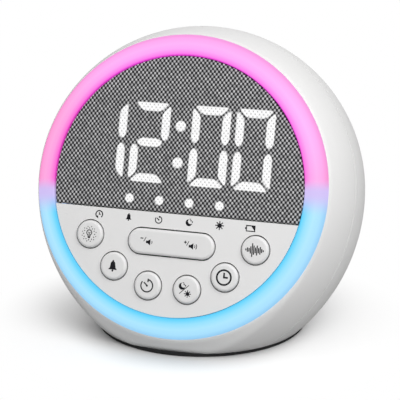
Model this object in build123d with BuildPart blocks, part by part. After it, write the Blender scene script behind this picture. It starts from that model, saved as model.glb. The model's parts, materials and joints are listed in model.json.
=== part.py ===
from build123d import *
import os
from math import asin, cos, degrees, radians, sin, sqrt, tan

# Bedside sleep trainer clock. A round housing stands on a rubber foot. Its face leans back and holds a
# cloth-covered digit display above a button panel, inside a ring of light.
# Millimetres, +Z up, the face looks along -Y, and the origin is the middle of the foot's underside.
# A distance "along the face normal" is measured forward from the centre of the housing's sphere.

# Housing
bottom_cut = 9.5
base_margin = 5.4
back_margin = 7.3
back_edge_radius = 9.0
wall = 2.5
face_tilt = 16.6
chin_back = 35.0
chin_step = 0.2
rim_distance = 27.2
rim_flange = 2.0
seam_distance = 8.4
seam_lip = 3.0
seam_groove = 0.6
fit_gap = 0.2
overlap = 0.5

# Rubber foot
foot_thickness = 2.4
foot_recess = 1.0
foot_inset = 0.2
foot_lip = 3.0
foot_edge = 0.4

# Light ring
ring_band = 7.95
ring_crest = 3.85
ring_bulge = 1.2
ring_wall = 1.6
ring_edge_radius = 0.5
rim_step = 0.2
ledge_width = 1.0
ledge_thickness = 1.5
ring_boss_radius = 1.7
ring_screw_angles = (0, 90, 180, 270)

# Ring lighting
ring_board_thickness = 1.2
ring_board_gap = 1.0
led_count = 24
led_length = 3.5
led_width = 2.8
led_height = 1.6

# Face plates
face_recess = 0.5
face_margin = 1.43
panel_thickness = 2.2
cloth_thickness = 0.8
split_margin = 4.8
split_gap = 0.2
face_boss_radius = 2.2
carrier_boss_inset = 3.2
carrier_boss_angle = 66.3

# Boards and small screws
bulkhead_thickness = 2.0
bulkhead_land = 3.5
board_lift = 0.2
board_gap = 1.0
board_thickness = 1.6
screw_radius = 0.95
screw_head_radius = 1.9
screw_head_height = 1.4
screw_length = 6.0
screw_clearance = 0.2
screw_end_gap = 0.5
thread_gap = 0.05

# Push buttons and their switches
button_radius = 5.1
button_gap = 0.45
button_rise = 1.2
button_edge = 1.0
button_margin = 4.95
button_web = 4.01
button_spread = 23.0
button_flange = 0.9
flange_thickness = 1.0
flange_gap = 0.1
stem_radius = 2.0
switch_size = 6.2
switch_height = 3.6
plunger_radius = 1.6
plunger_gap = 0.1
plunger_rise = 1.4
plunger_seat = 1.7
button_travel = 0.8
travel_gap = 0.2
button_names = ("light", "alarm", "timer", "sleep_wake", "clock", "sound")

# Volume rocker
rocker_inset = 4.87
rocker_width = 9.4
rocker_offset = 11.0
rocker_depth = 4.8
rocker_stem_inset = 5.1
rocker_stem_length = 1.4
rocker_stem_radius = 1.75
rocker_stem_gap = 0.1
pivot_drop = 1.1
pivot_radius = 1.2
pivot_gap = 0.05
lug_width = 6.0
lug_inset = 1.0
lug_wall = 0.8
ear_gap = 0.4
ear_thickness = 2.0
ear_wall = 1.2

# Digit display
digit_height = 29.0
digit_width = 14.6
digit_stroke = 3.0
digit_gap = 2.1
colon_gap = 2.3
colon_radius = 1.95
colon_spread = 6.9
segment_gap = 1.0
segment_round = 0.6
segment_depth = 1.5
display_clear = 4.15
display_border = 0.9
display_gap = 0.1
indicator_inset = 4.3
indicator_pitch = 11.6
indicator_count = 6
indicator_radius = 1.65

# Speaker in the back
speaker_rise = 7.0
speaker_size = 42.0
speaker_corner = 5.0
speaker_flange = 1.2
speaker_gasket_thickness = 1.0
speaker_gasket_inset = 0.5
speaker_gasket_gap = 1.5
speaker_rim = 2.5
basket_depth = 11.0
basket_wall = 0.8
basket_hole = 6.6
magnet_radius = 14.0
magnet_depth = 8.0
cone_wall = 0.6
cone_depth = 8.0
coil_radius = 6.0
cone_gap = 0.1
speaker_screw_length = 3.6
speaker_boss_radius = 2.6
grille_hole_radius = 0.9
grille_border = 1.1
grille_rings = 5

# Power inlet
port_gap = 7.9
port_width = 13.0
port_height = 7.2
port_corner = 1.5
port_depth = 5.0
port_wall = 1.5
socket_width = 8.94
socket_height = 3.26
socket_length = 7.3
socket_skin = 0.3
tongue_width = 6.7
tongue_height = 0.7
tongue_inset = 1.0
tongue_root = 1.5
tongue_gap = 0.05
power_board_width = 34.0
power_board_length = 22.0
power_screw_inset = 5.0
post_radius = 2.6

# Battery cell
cell_radius = 9.1
cell_length = 65.0
cell_edge = 0.8
cell_gap = 1.2
cradle_x = 20.0
cradle_thickness = 3.0
cradle_wall = 1.5
cradle_gap = 0.15
cradle_mouth_share = 0.8
cradle_rise_share = 0.5

# Case screws
case_screw_angles = (-20, 48, 132, 200)
case_boss_radius = 3.6
case_screw_radius = 1.5
case_head_radius = 2.75
case_head_height = 2.0
case_screw_length = 12.0
case_clamp = 4.0
case_joint = 1.0

# Leads inside the housing
lead_radius = 0.6
lead_pitch = 3.0
lead_reach = 9.0
lead_hole_gap = 0.4
cell_lead_reach = 3.0
power_lead_inset = 3.0
power_lead_drop = 13.0
speaker_lead_inset = 1.4
speaker_lead_drop = 4.0
ring_lead_inset = 4.0
ring_lead_reach = 4.0
ring_lead_angles = (19, 24)
bend_share = 0.45

# Layout of the face: the buttons set the split and the digits, and both set the face's size
tilt = radians(face_tilt)
half_spread = radians(button_spread) / 2
button_hole = button_radius + button_gap
button_circle = (button_hole + button_web / 2) / sin(half_spread)
middle_button = (len(button_names) - 1) / 2
button_angles = [button_spread * (i - middle_button) - 90 for i in range(len(button_names))]
side_button_x = -button_circle * cos(radians(button_angles[0]))
side_button_drop = -button_circle * sin(radians(button_angles[0]))
split_drop = side_button_drop - button_hole - split_margin
rocker_drop = split_drop + rocker_offset
rocker_length = 2 * (-button_circle * cos(radians(button_angles[1])) - rocker_inset)
rocker_stem_x = rocker_length / 2 - rocker_stem_inset
indicator_drop = split_drop - indicator_inset
display_height = digit_height + 2 * display_border
display_rise = indicator_radius + display_clear + display_height / 2 - indicator_drop
digit_pitch = digit_width + digit_gap
colon_pitch = digit_width + 2 * (colon_radius + colon_gap)
digits_width = colon_pitch + 2 * digit_pitch + digit_width
display_width = digits_width + 2 * display_border
digits_reach = sqrt((digits_width / 2) ** 2 + (display_rise + digit_height / 2) ** 2)
face_radius = max(button_circle + button_radius + button_margin, digits_reach + face_margin)

# Light ring and housing round the face
ring_inner_radius = face_radius + fit_gap
ring_outer_radius = ring_inner_radius + ring_band
rim_radius = ring_outer_radius + rim_step
body_radius = sqrt(rim_radius**2 + rim_distance**2)
rim_opening = sqrt((body_radius - wall) ** 2 - rim_distance**2)
centre_height = body_radius - bottom_cut
shell_bottom = foot_thickness - foot_recess
floor_top = shell_bottom + wall
chin_radius = sqrt((rim_radius + chin_step) ** 2 + (rim_distance + chin_back) ** 2)
chin_drop = centre_height - chin_back * sin(tilt) - shell_bottom
base_front = sqrt(chin_radius**2 - chin_drop**2) - chin_back * cos(tilt)

# Distances along the face normal, from the front back
crest_distance = rim_distance + ring_crest
face_distance = crest_distance - face_recess
seat_distance = face_distance - panel_thickness
carrier_front = face_distance - cloth_thickness
button_front = face_distance + button_rise
flange_front = seat_distance - flange_gap
flange_back = flange_front - flange_thickness
rocker_back = button_front - rocker_depth
pivot_distance = rocker_back - pivot_drop
plunger_front = rocker_back - rocker_stem_length
switch_front = plunger_front - plunger_rise
plunger_back = switch_front - plunger_seat
well_depth = plunger_seat + button_travel + travel_gap
display_front = seat_distance - display_gap
board_front = switch_front - switch_height
board_back = board_front - board_thickness
bulkhead_front = board_front - board_lift
bulkhead_back = bulkhead_front - bulkhead_thickness
ring_board_front = bulkhead_front + ring_board_thickness
case_bearing = case_joint - case_clamp

# Radii about the face normal
ledge_radius = ring_inner_radius - ledge_width
display_radius = ledge_radius - fit_gap
skirt_radius = ring_inner_radius + ring_wall
spigot_radius = rim_opening - fit_gap
ring_screw_circle = (skirt_radius + spigot_radius) / 2
bulkhead_opening = ring_inner_radius - bulkhead_land
board_radius = bulkhead_opening - board_gap
ring_board_inner = skirt_radius + fit_gap
ring_board_outer = sqrt((body_radius - wall) ** 2 - ring_board_front**2) - ring_board_gap
led_circle = (ring_board_inner + ring_board_outer) / 2
ear_inner = rocker_width / 2 + button_gap + ear_gap
ear_outer = ear_inner + ear_thickness

# Flat back and base, then speaker, power inlet and battery cell from the back forward
speaker_height = centre_height + speaker_rise
speaker_corner_reach = sqrt((speaker_size / 2) ** 2 + (speaker_rise + speaker_size / 2) ** 2)
back_distance = sqrt(body_radius**2 - (speaker_corner_reach + back_margin) ** 2)
back_inner = back_distance - wall
base_radius = back_distance - base_margin
base_drop = centre_height - shell_bottom
base_draw = body_radius - base_radius
lower_arc_radius = (base_drop**2 + base_draw**2) / (2 * base_draw)
side_centre = body_radius - lower_arc_radius
foot_radius = base_radius - foot_inset
foot_plug_radius = min(base_radius, base_front) - foot_lip
speaker_mouth = speaker_size / 2 - speaker_rim
speaker_front = back_inner - speaker_gasket_thickness
speaker_back = speaker_front - speaker_flange
basket_back = speaker_back - basket_depth
cone_back = speaker_front - cone_depth
speaker_gasket_radius = speaker_size / 2 - speaker_gasket_inset
speaker_screw_place = (speaker_gasket_radius + speaker_gasket_gap + speaker_boss_radius) / sqrt(2)
grille_pitch = (speaker_mouth - grille_border - grille_hole_radius) / grille_rings
speaker_lead_rise = speaker_rise + speaker_size / 2 - speaker_lead_drop
port_rise = speaker_height - speaker_size / 2 - port_gap - port_wall - port_height / 2
port_floor = back_distance - port_depth
port_plate_back = port_floor - port_wall
power_board_top = port_rise - socket_height / 2
power_board_back = port_plate_back - fit_gap
power_board_front = power_board_back - power_board_length
power_screw_x = power_board_width / 2 - power_screw_inset
power_screw_y = (power_board_front + power_board_back) / 2
cell_back = power_board_front - cell_gap - cell_radius
cell_height = floor_top + cradle_wall + cradle_gap + cell_radius
cradle_reach = cell_radius + cradle_gap + cradle_wall

# Planes and axes
FACE = Plane(origin=(0, 0, centre_height), x_dir=(1, 0, 0), z_dir=(0, -cos(tilt), sin(tilt)))
SECTION = Plane(origin=FACE.origin, x_dir=(1, 0, 0), z_dir=-FACE.y_dir)
BACK = Plane(origin=(0, 0, speaker_height), x_dir=(-1, 0, 0), z_dir=(0, 1, 0))
DRIVER = Plane(origin=(0, 0, speaker_height), x_dir=(1, 0, 0), z_dir=(0, 0, 1))
PORT = Plane(origin=(0, 0, port_rise), x_dir=(-1, 0, 0), z_dir=(0, 1, 0))
PIVOT = Plane(
    origin=FACE.from_local_coords((0, -rocker_drop, pivot_distance)), x_dir=(1, 0, 0), z_dir=FACE.y_dir
)
face_axis = Axis(FACE.origin, FACE.z_dir)
driver_axis = Axis((0, 0, speaker_height), (0, 1, 0))


def polar(radius, angles):
    """Places on a circle about the middle of the face."""
    return [(radius * cos(radians(a)), radius * sin(radians(a))) for a in angles]


# Places of what repeats
button_places = dict(zip(button_names, polar(button_circle, button_angles)))
rocker_switches = {
    "volume_down": (-rocker_stem_x, -rocker_drop),
    "volume_up": (rocker_stem_x, -rocker_drop),
}
switch_places = list(button_places.values()) + list(rocker_switches.values())
rocker_end = rocker_length / 2 + button_gap
panel_boss_x = (rocker_end + side_button_x - button_radius - button_flange) / 2
panel_bosses = [(side * panel_boss_x, -side_button_drop) for side in (-1, 1)]
carrier_boss_angles = (carrier_boss_angle, 180 - carrier_boss_angle)
carrier_bosses = polar(board_radius - carrier_boss_inset, carrier_boss_angles)
board_screw_places = panel_bosses + carrier_bosses
ring_screw_places = polar(ring_screw_circle, ring_screw_angles)
ring_lead_places = polar(led_circle, ring_lead_angles)
case_places = polar(ring_inner_radius, case_screw_angles)
speaker_corners = [(i * speaker_screw_place, j * speaker_screw_place) for i in (-1, 1) for j in (-1, 1)]
power_screw_places = [(-power_screw_x, power_screw_y), (power_screw_x, power_screw_y)]
first_indicator = -(indicator_count - 1) / 2
indicator_columns = [(first_indicator + i) * indicator_pitch for i in range(indicator_count)]
indicator_places = [(x, -indicator_drop) for x in indicator_columns]


def body_form(inset):
    """The housing's outer form, or a form drawn in by inset that reaches a little further forward."""
    side_radius = lower_arc_radius - inset
    floor_height = shell_bottom + inset
    floor_angle = degrees(asin((centre_height - floor_height) / side_radius))
    front = rim_distance + (overlap if inset else 0)
    edge = sqrt((body_radius - inset) ** 2 - front**2) + chin_step
    with BuildPart() as form:
        with BuildSketch(Plane.XZ):
            with BuildLine():
                top = CenterArc((0, centre_height), body_radius - inset, 0, 90)
                side = CenterArc((side_centre, centre_height), side_radius, 0, -floor_angle)
                Polyline(side @ 1, (0, floor_height), top @ 1)
            make_face()
        revolve(axis=Axis.Z)
        split(bisect_by=Plane.XZ.offset(inset - back_distance), keep=Keep.TOP)
        fillet(form.faces().sort_by(Axis.Y)[-1].edges(), back_edge_radius - inset)
        split(bisect_by=FACE.offset(front), keep=Keep.BOTTOM)
        # The chin: what bulges out past a larger sphere through the rim is cut away
        with Locations(FACE.offset(-chin_back)):
            Sphere(sqrt(edge**2 + (front + chin_back) ** 2), mode=Mode.INTERSECT)
    return form.part


def slab(near, far):
    """A disc wider than the housing, between two distances along the face normal."""
    with BuildPart() as disc:
        with BuildSketch(FACE.offset(near)):
            Circle(2 * body_radius)
        extrude(amount=far - near)
    return disc.part


def core(inset, near, far):
    """What the form drawn in by inset holds between two distances along the face normal."""
    with BuildPart() as band:
        add(body_form(inset))
        add(slab(near, far), mode=Mode.INTERSECT)
    return band.part


def rods(plane, places, radius, length):
    """Round bars standing on a plane, one at each place."""
    with BuildPart() as bars:
        with BuildSketch(plane):
            with Locations(*places):
                Circle(radius)
        extrude(amount=length)
    return bars.part


def drill(plane, places, radius, depth):
    """Takes round holes out of the piece that is being built."""
    add(rods(plane, places, radius, depth), mode=Mode.SUBTRACT)


def screws(plane, places, length):
    """Small pan-head screws whose heads bear on a plane and whose shanks run along its normal."""
    with BuildPart() as group:
        add(rods(plane, places, screw_radius, length))
        add(rods(plane, places, screw_head_radius, -screw_head_height))
    return group.part


def ring_front(radius):
    """How far forward the light ring's front lies at a radius."""
    way = (ring_outer_radius - radius) / (ring_outer_radius - ring_inner_radius)
    return rim_distance + ring_crest * way + 4 * ring_bulge * way * (1 - way)


def face_point(x, up, out):
    """A place on the face as a point in the part's own frame."""
    return FACE.from_local_coords(Vector(x, up, out))


def lead(points):
    """An insulated wire through points, with its bends as large as the runs between them allow."""
    spots = [Vector(*p) for p in points]
    bends = []
    for before, at, after in zip(spots, spots[1:], spots[2:]):
        turn = radians((at - before).get_angle(after - at))
        bends.append(bend_share * min((at - before).length, (after - at).length) / tan(turn / 2))
    with BuildPart() as wire:
        with BuildLine() as route:
            FilletPolyline(*spots, radius=bends)
        with BuildSketch(Plane(route.line @ 0, z_dir=route.line % 0)):
            Circle(lead_radius)
        sweep(path=route.line)
    return wire.part


def save(builder, name):
    """Labels a finished piece and writes it."""
    builder.part.label = name
    export_step(builder.part, f"parts/{name}.step")


os.makedirs("parts", exist_ok=True)

# Rubber foot: a disc under the housing, with a plug stuck in a shallow recess across both halves
with BuildPart() as rubber_foot:
    with BuildSketch():
        Circle(foot_radius)
    extrude(amount=shell_bottom)
    chamfer(rubber_foot.edges().sort_by(Axis.Z)[0], foot_edge)
    with BuildSketch():
        Circle(foot_plug_radius)
    extrude(amount=foot_thickness)
save(rubber_foot, "rubber_foot")

# Front housing: the shell ahead of the seam, with a bulkhead that carries the light ring
lead_hole = lead_radius + lead_hole_gap
with BuildPart() as front_housing:
    add(core(0, seam_distance, 2 * body_radius))
    add(body_form(wall), mode=Mode.SUBTRACT)
    add(core(wall / 2, rim_distance - rim_flange, rim_distance))
    drill(FACE.offset(rim_distance), [(0, 0)], rim_opening, -2 * rim_flange)
    add(core(wall / 2, bulkhead_back, bulkhead_front))
    drill(FACE.offset(bulkhead_front), [(0, 0)], bulkhead_opening, -2 * bulkhead_thickness)
    add(core(wall / 2, seam_distance, seam_distance + seam_lip + fit_gap), mode=Mode.SUBTRACT)
    boss_start = case_joint + fit_gap
    boss_length = bulkhead_back + overlap - boss_start
    add(rods(FACE.offset(boss_start), case_places, case_boss_radius, boss_length))
    pilot = case_screw_length - case_clamp + screw_end_gap
    drill(FACE.offset(case_joint), case_places, case_screw_radius + thread_gap, pilot)
    hole = screw_radius + screw_clearance
    drill(FACE.offset(bulkhead_front), ring_screw_places, hole, -2 * bulkhead_thickness)
    drill(FACE.offset(bulkhead_front), ring_lead_places, lead_hole, -2 * bulkhead_thickness)
    with BuildSketch():
        Circle(foot_plug_radius + fit_gap)
    extrude(amount=foot_thickness, mode=Mode.SUBTRACT)
save(front_housing, "front_housing")

# Rear cover: the shell behind the seam, with a grille, an inlet well, and seats for what it holds
with BuildPart() as rear_cover:
    add(core(0, -2 * body_radius, seam_distance))
    add(slab(seam_distance - seam_groove, seam_distance + overlap), mode=Mode.SUBTRACT)
    add(core(seam_groove, seam_distance - 2 * seam_groove, seam_distance))
    add(core(wall / 2 + fit_gap, seam_distance - overlap, seam_distance + seam_lip))
    add(body_form(wall), mode=Mode.SUBTRACT)
    with BuildSketch(FACE.offset(case_joint)):
        with Locations(*case_places):
            Circle(case_boss_radius)
    extrude(amount=-2 * body_radius)
    # The posts and saddles run into the wall, and what sticks out of the form is trimmed off
    post_top = power_board_top - board_thickness
    with BuildSketch(Plane.XY.offset(post_top)):
        with Locations(*power_screw_places):
            Circle(post_radius)
    extrude(amount=-centre_height)
    for side in (-1, 1):
        with BuildSketch(Plane.YZ.offset(side * cradle_x - cradle_thickness / 2)):
            with Locations((cell_back, 0)):
                cradle_top = cell_height + cradle_rise_share * cell_radius
                Rectangle(2 * cradle_reach, cradle_top, align=(Align.CENTER, Align.MIN))
            with Locations((cell_back, cell_height)):
                Circle(cell_radius + cradle_gap, mode=Mode.SUBTRACT)
                mouth = 2 * cradle_mouth_share * cell_radius
                Rectangle(mouth, cell_radius, align=(Align.CENTER, Align.MIN), mode=Mode.SUBTRACT)
        extrude(amount=cradle_thickness)
    with BuildSketch(BACK.offset(speaker_front)):
        with Locations(*speaker_corners):
            Circle(speaker_boss_radius)
    extrude(amount=speaker_gasket_thickness + overlap)
    with BuildSketch(PORT.offset(port_plate_back)):
        RectangleRounded(port_width + 2 * port_wall, port_height + 2 * port_wall, port_corner + port_wall)
    extrude(amount=port_depth)
    add(core(0, -2 * body_radius, seam_distance + seam_lip), mode=Mode.INTERSECT)
    with BuildSketch(PORT.offset(port_floor)):
        RectangleRounded(port_width, port_height, port_corner)
    extrude(amount=2 * port_depth, mode=Mode.SUBTRACT)
    with BuildSketch(PORT.offset(port_plate_back - overlap)):
        SlotOverall(socket_width + 2 * fit_gap, socket_height + 2 * fit_gap)
    extrude(amount=port_depth, mode=Mode.SUBTRACT)
    with BuildSketch(BACK.offset(back_inner - overlap)):
        Circle(grille_hole_radius)
        for ring in range(1, grille_rings + 1):
            with PolarLocations(ring * grille_pitch, 6 * ring):
                Circle(grille_hole_radius)
    extrude(amount=2 * wall, mode=Mode.SUBTRACT)
    shank_hole = case_screw_radius + screw_clearance
    drill(FACE.offset(case_joint + overlap), case_places, shank_hole, -2 * body_radius)
    drill(FACE.offset(case_bearing), case_places, case_head_radius + screw_clearance, -2 * body_radius)
    pilot = speaker_screw_length - speaker_flange + thread_gap
    drill(BACK.offset(speaker_front), speaker_corners, screw_radius + thread_gap, pilot)
    pilot = screw_length - board_thickness + screw_end_gap
    drill(Plane.XY.offset(post_top), power_screw_places, screw_radius + thread_gap, -pilot)
    with BuildSketch():
        Circle(foot_plug_radius + fit_gap)
    extrude(amount=foot_thickness, mode=Mode.SUBTRACT)
save(rear_cover, "rear_cover")

# Case screws: from the back, through the rear cover's bosses into the front housing's
with BuildPart() as case_screws:
    add(rods(FACE.offset(case_bearing), case_places, case_screw_radius, case_screw_length))
    add(rods(FACE.offset(case_bearing), case_places, case_head_radius, -case_head_height))
save(case_screws, "case_screws")

# Light ring: a domed diffuser over the lights, with a ledge inside that the face plates rest on
with BuildPart() as light_ring:
    with BuildSketch(SECTION):
        with BuildLine():
            middle = (ring_outer_radius + ring_inner_radius) / 2
            foot, crest = (ring_outer_radius, rim_distance), (ring_inner_radius, crest_distance)
            dome = ThreePointArc(foot, (middle, ring_front(middle)), crest)
            spigot_inner = spigot_radius - ring_wall
            Polyline(
                dome @ 1,
                (ring_inner_radius, seat_distance),
                (ledge_radius, seat_distance),
                (ledge_radius, seat_distance - ledge_thickness),
                (ring_inner_radius, seat_distance - ledge_thickness),
                (ring_inner_radius, bulkhead_front),
                (skirt_radius, bulkhead_front),
                (skirt_radius, ring_front(skirt_radius) - ring_wall),
                (spigot_inner, ring_front(spigot_inner) - ring_wall),
                (spigot_inner, rim_distance - rim_flange),
                (spigot_radius, rim_distance - rim_flange),
                (spigot_radius, rim_distance),
                dome @ 0,
            )
        make_face()
    revolve(axis=face_axis)
    boss_length = ring_front(ring_screw_circle) - ring_wall / 2 - ring_board_front
    add(rods(FACE.offset(ring_board_front), ring_screw_places, ring_boss_radius, boss_length))
    pilot = screw_length - bulkhead_thickness - ring_board_thickness + screw_end_gap
    drill(FACE.offset(ring_board_front), ring_screw_places, screw_radius + thread_gap, pilot)
    crest_point = face_point(0, ring_inner_radius, crest_distance)
    fillet(light_ring.edges().filter_by(GeomType.CIRCLE).sort_by_distance(crest_point)[0], ring_edge_radius)
save(light_ring, "light_ring")

# Ring light board: a flat annulus on the bulkhead under the light ring
with BuildPart() as ring_light_board:
    with BuildSketch(FACE.offset(bulkhead_front)):
        Circle(ring_board_outer)
        Circle(ring_board_inner, mode=Mode.SUBTRACT)
        with Locations(*ring_screw_places):
            Circle(screw_radius + screw_clearance, mode=Mode.SUBTRACT)
    extrude(amount=ring_board_thickness)
save(ring_light_board, "ring_light_board")

# Ring lights: surface-mounted lamps, kept clear of the ring's screws by half a step
with BuildPart() as ring_lights:
    with BuildSketch(FACE.offset(ring_board_front)):
        with PolarLocations(led_circle, led_count, start_angle=180 / led_count):
            Rectangle(led_width, led_length)
    extrude(amount=led_height)
save(ring_lights, "ring_lights")

# Ring screws: from behind, through the bulkhead and the ring light board into the light ring
with BuildPart() as ring_screws:
    add(screws(FACE.offset(bulkhead_back), ring_screw_places, screw_length))
save(ring_screws, "ring_screws")

# Cloth carrier: a clear plate on the ring's ledge that the cloth is stretched over
with BuildPart() as cloth_carrier:
    with BuildSketch(FACE.offset(seat_distance)):
        Circle(face_radius)
        with Locations((0, split_gap / 2 - split_drop)):
            Rectangle(2 * face_radius, face_radius, align=(Align.CENTER, Align.MAX), mode=Mode.SUBTRACT)
    extrude(amount=carrier_front - seat_distance)
    boss_length = seat_distance + overlap - board_front
    add(rods(FACE.offset(board_front), carrier_bosses, face_boss_radius, boss_length))
    pilot = screw_length - board_thickness + screw_end_gap
    drill(FACE.offset(board_front), carrier_bosses, screw_radius + thread_gap, pilot)
save(cloth_carrier, "cloth_carrier")

# Face cloth: the woven cover on the carrier
with BuildPart() as face_cloth:
    with BuildSketch(FACE.offset(carrier_front)):
        Circle(face_radius)
        with Locations((0, split_gap / 2 - split_drop)):
            Rectangle(2 * face_radius, face_radius, align=(Align.CENTER, Align.MAX), mode=Mode.SUBTRACT)
    extrude(amount=cloth_thickness)
save(face_cloth, "face_cloth")

# Button panel: the lower part of the face, with ears behind it that the rocker turns in
with BuildPart() as button_panel:
    with BuildSketch(FACE.offset(seat_distance)):
        Circle(face_radius)
        with Locations((0, -split_gap / 2 - split_drop)):
            Rectangle(2 * face_radius, 2 * face_radius, align=(Align.CENTER, Align.MIN), mode=Mode.SUBTRACT)
        with Locations(*button_places.values()):
            Circle(button_hole, mode=Mode.SUBTRACT)
        with Locations((0, -rocker_drop)):
            SlotOverall(rocker_length + 2 * button_gap, rocker_width + 2 * button_gap, mode=Mode.SUBTRACT)
    extrude(amount=panel_thickness)
    boss_length = seat_distance + overlap - board_front
    add(rods(FACE.offset(board_front), panel_bosses, face_boss_radius, boss_length))
    pilot = screw_length - board_thickness + screw_end_gap
    drill(FACE.offset(board_front), panel_bosses, screw_radius + thread_gap, pilot)
    ear_back = pivot_distance - pivot_radius - ear_wall
    with BuildSketch(FACE.offset(ear_back)):
        for side in (-1, 1):
            with Locations((0, side * (ear_inner + ear_outer) / 2 - rocker_drop)):
                Rectangle(lug_width, ear_thickness)
    extrude(amount=seat_distance + overlap - ear_back)
    with BuildSketch(PIVOT):
        Circle(pivot_radius + pivot_gap)
    extrude(amount=2 * ear_outer, both=True, mode=Mode.SUBTRACT)
save(button_panel, "button_panel")


def segment_outlines():
    """The seven bars of one digit about its middle, mitred at the corners."""
    x = digit_width / 2
    y = digit_height / 2
    s = digit_stroke
    g = segment_gap
    top = [(g - x, y), (x - g, y), (x - g - s, y - s), (g + s - x, y - s)]
    upper = [(-x, y - g), (-x, g), (s / 2 - x, g), (s - x, s / 2 + g), (s - x, y - g - s)]
    middle = [(g + s / 2 - x, 0), (g + s - x, s / 2), (x - g - s, s / 2), (x - g - s / 2, 0)]
    middle += [(x - g - s, -s / 2), (g + s - x, -s / 2)]
    bars = [middle]
    for way in (-1, 1):
        bars.append([(px, way * py) for px, py in top])
        bars.append([(px, way * py) for px, py in upper])
        bars.append([(-px, way * py) for px, py in upper])
    return bars


digit_columns = [i * (colon_pitch / 2) for i in (-1, 1)]
digit_columns += [i * (colon_pitch / 2 + digit_pitch) for i in (-1, 1)]
with BuildSketch(FACE.offset(display_front)) as segments:
    for column in digit_columns:
        for bar in segment_outlines():
            with Locations((column, display_rise)):
                Polygon(*bar, align=None)
    fillet(segments.vertices(), segment_round)
    for way in (-1, 1):
        with Locations((0, display_rise + way * colon_spread)):
            Circle(colon_radius)

# Digit display: a block on the main board with a well for every bar
with BuildPart() as digit_display:
    with BuildSketch(FACE.offset(board_front)):
        Circle(display_radius)
        with Locations((0, display_rise)):
            Rectangle(display_width, display_height, mode=Mode.INTERSECT)
    extrude(amount=display_front - board_front)
    add(segments.sketch)
    extrude(amount=-segment_depth, mode=Mode.SUBTRACT)
save(digit_display, "digit_display")

# Digit segments: the light guides cast into the wells
with BuildPart() as digit_segments:
    add(segments.sketch)
    extrude(amount=-segment_depth)
save(digit_segments, "digit_segments")

# Indicator guides: light pipes from the main board to the back of the cloth carrier
with BuildPart() as indicator_guides:
    add(rods(FACE.offset(board_front), indicator_places, indicator_radius, display_front - board_front))
save(indicator_guides, "indicator_guides")

# Main board: held to the bosses of the two face plates
with BuildPart() as main_board:
    with BuildSketch(FACE.offset(board_back)):
        Circle(board_radius)
        with Locations(*board_screw_places):
            Circle(screw_radius + screw_clearance, mode=Mode.SUBTRACT)
    extrude(amount=board_thickness)
save(main_board, "main_board")

# Board screws: from behind, through the main board into the face plates' bosses
with BuildPart() as board_screws:
    add(screws(FACE.offset(board_back), board_screw_places, screw_length))
save(board_screws, "board_screws")

# Switch bodies: one under each button and one under each end of the rocker
with BuildPart() as switch_bodies:
    with BuildSketch(FACE.offset(board_front)):
        with Locations(*switch_places):
            Rectangle(switch_size, switch_size)
    extrude(amount=switch_height)
    drill(FACE.offset(switch_front), switch_places, plunger_radius + plunger_gap, -well_depth)
save(switch_bodies, "switch_bodies")

# Switch plungers: each rides in its switch body's well
for name, place in {**button_places, **rocker_switches}.items():
    with BuildPart() as plunger:
        add(rods(FACE.offset(plunger_back), [place], plunger_radius, plunger_front - plunger_back))
    save(plunger, f"{name}_plunger")

# Push buttons: a rounded cap, a flange that stops behind the panel, and a stem on its plunger
for name, place in button_places.items():
    with BuildPart() as button:
        add(rods(FACE.offset(flange_back), [place], button_radius, button_front - flange_back))
        fillet(button.faces().sort_by(face_axis)[-1].edges(), button_edge)
        add(rods(FACE.offset(flange_back), [place], button_radius + button_flange, flange_thickness))
        add(rods(FACE.offset(plunger_front), [place], stem_radius, flange_back + overlap - plunger_front))
    save(button, f"{name}_button")

# Volume rocker: turns on trunnions in the panel's ears and bears on a plunger at each end
with BuildPart() as volume_rocker:
    with BuildSketch(FACE.offset(rocker_back)):
        with Locations((0, -rocker_drop)):
            SlotOverall(rocker_length, rocker_width)
    extrude(amount=rocker_depth)
    fillet(volume_rocker.faces().sort_by(face_axis)[-1].edges(), button_edge)
    lug_back = pivot_distance - pivot_radius - lug_wall
    with BuildSketch(FACE.offset(lug_back)):
        with Locations((0, -rocker_drop)):
            Rectangle(lug_width, rocker_width - 2 * lug_inset)
    extrude(amount=rocker_back + overlap - lug_back)
    with BuildSketch(PIVOT):
        Circle(pivot_radius)
    extrude(amount=ear_outer, both=True)
    tip_centre = plunger_front + rocker_stem_gap + rocker_stem_radius
    for x, up in rocker_switches.values():
        with Locations(face_point(x, up, tip_centre)):
            Sphere(rocker_stem_radius)
save(volume_rocker, "volume_rocker")

# Speaker frame: a square flange and a dished basket that opens through the back
with BuildPart() as speaker_frame:
    with BuildSketch(BACK.offset(speaker_back)):
        RectangleRounded(speaker_size, speaker_size, speaker_corner)
        Circle(speaker_mouth, mode=Mode.SUBTRACT)
        with Locations(*speaker_corners):
            Circle(screw_radius + screw_clearance, mode=Mode.SUBTRACT)
    extrude(amount=speaker_flange)
    with BuildSketch(DRIVER):
        Polygon(
            (speaker_mouth + basket_wall, speaker_back + speaker_flange / 2),
            (magnet_radius, basket_back),
            (basket_hole, basket_back),
            (basket_hole, basket_back + basket_wall),
            (magnet_radius - basket_wall, basket_back + basket_wall),
            (speaker_mouth, speaker_back + speaker_flange / 2),
            align=None,
        )
    revolve(axis=driver_axis)
save(speaker_frame, "speaker_frame")

# Speaker magnet: a disc on the bottom of the basket
with BuildPart() as speaker_magnet:
    add(rods(BACK.offset(basket_back), [(0, 0)], magnet_radius, -magnet_depth))
save(speaker_magnet, "speaker_magnet")

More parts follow.
